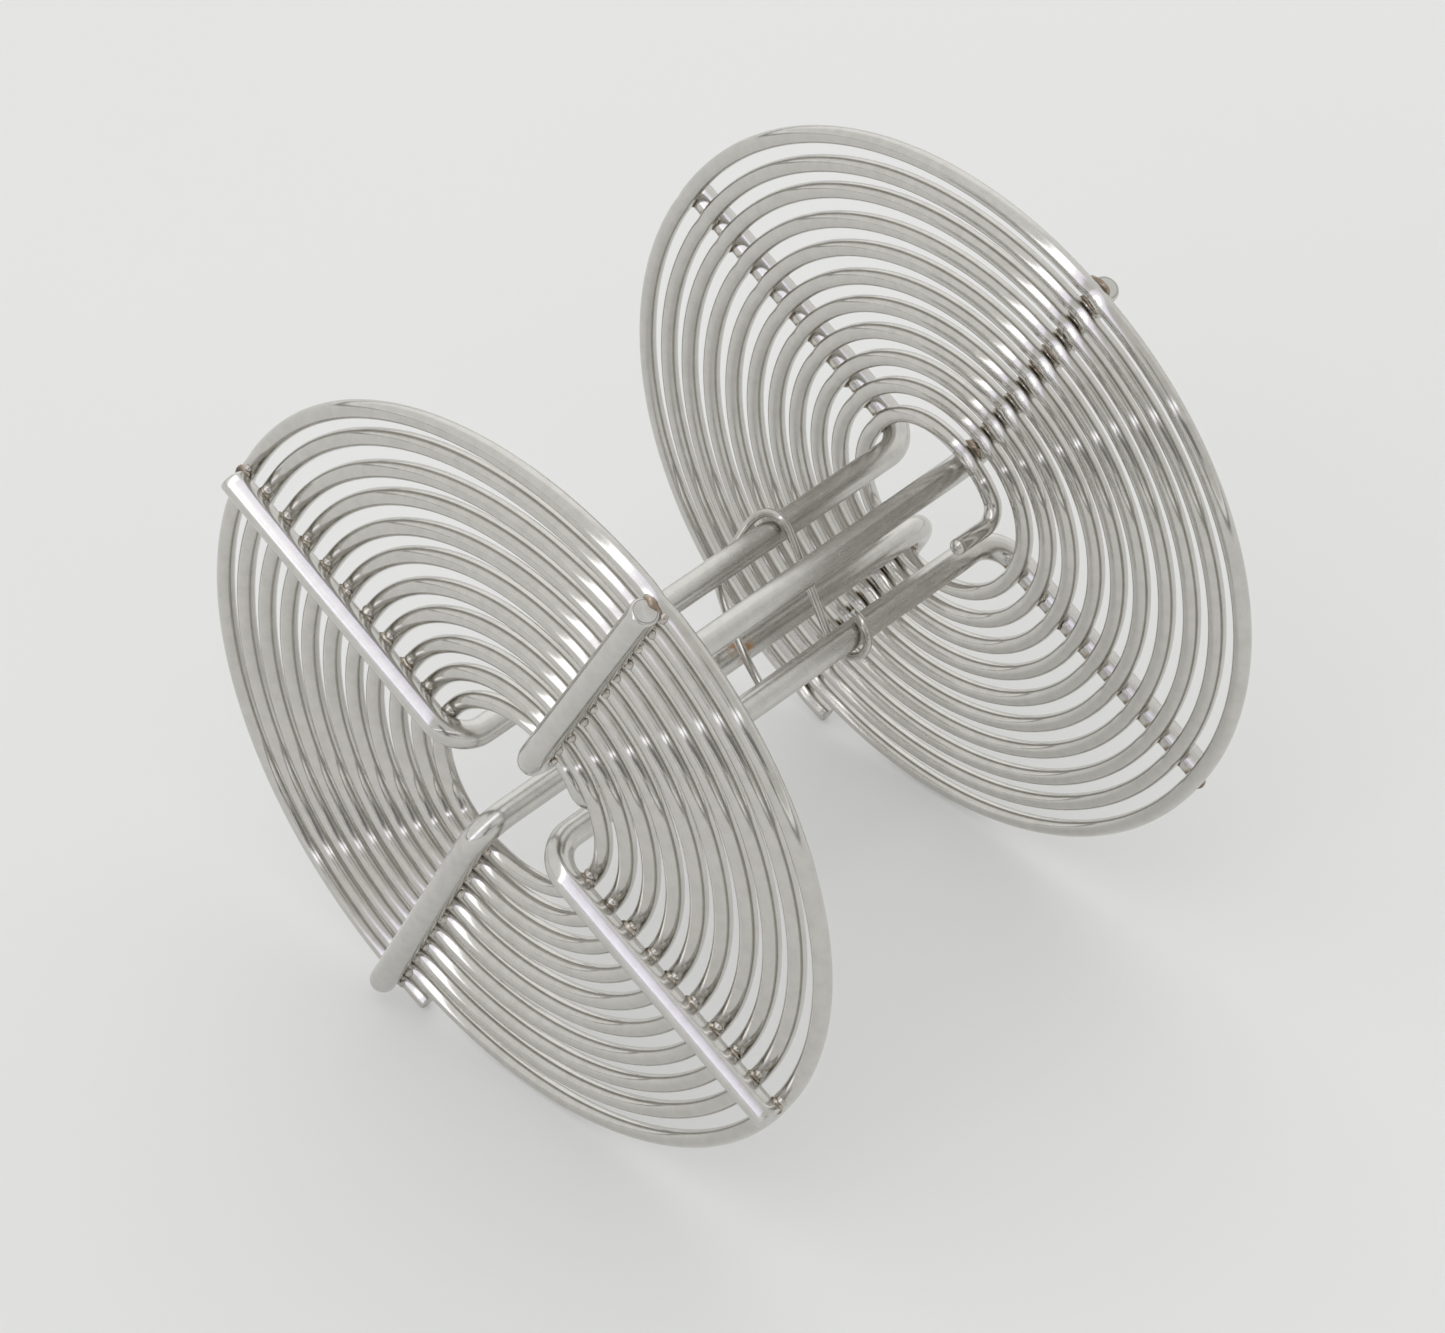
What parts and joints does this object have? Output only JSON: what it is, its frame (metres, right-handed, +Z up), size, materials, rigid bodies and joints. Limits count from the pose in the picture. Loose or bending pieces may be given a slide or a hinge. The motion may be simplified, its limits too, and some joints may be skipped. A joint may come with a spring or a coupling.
{
  "type": "film developing reel",
  "caption": "Welded stainless wire reel for developing wide roll film: two facing wire spirals on bent core rods, with a spring-wire film clip in the core.",
  "frame": {"origin": "centre of the bounding box's bottom, under the reel as it lies on its rims", "axes": "+Z up, Y along the reel's axis with the front spiral at -Y, +X to the right seen from the front"},
  "size_m": [0.0838, 0.07, 0.0822],
  "materials": {
    "spiral_wire": "drawn stainless wire, polished, with faint straw tint at the welds",
    "core_rod": "drawn stainless rod, polished",
    "clip_wire": "bright spring wire"
  },
  "bodies": {
    "reel_frame": {"front_spiral": "spiral_wire", "rear_spiral": "spiral_wire", "core_rod_upper_left": "core_rod", "core_rod_upper_right": "core_rod", "core_rod_lower_right": "core_rod", "core_rod_lower_left": "core_rod"},
    "clip": {"film_clip": "clip_wire"}
  },
  "joints": [
    {"name": "clip_slide", "type": "slide", "parent": "reel_frame", "child": "clip", "axis": [0, 1, 0], "range_m": [-0.026, 0.0165]}
  ]
}
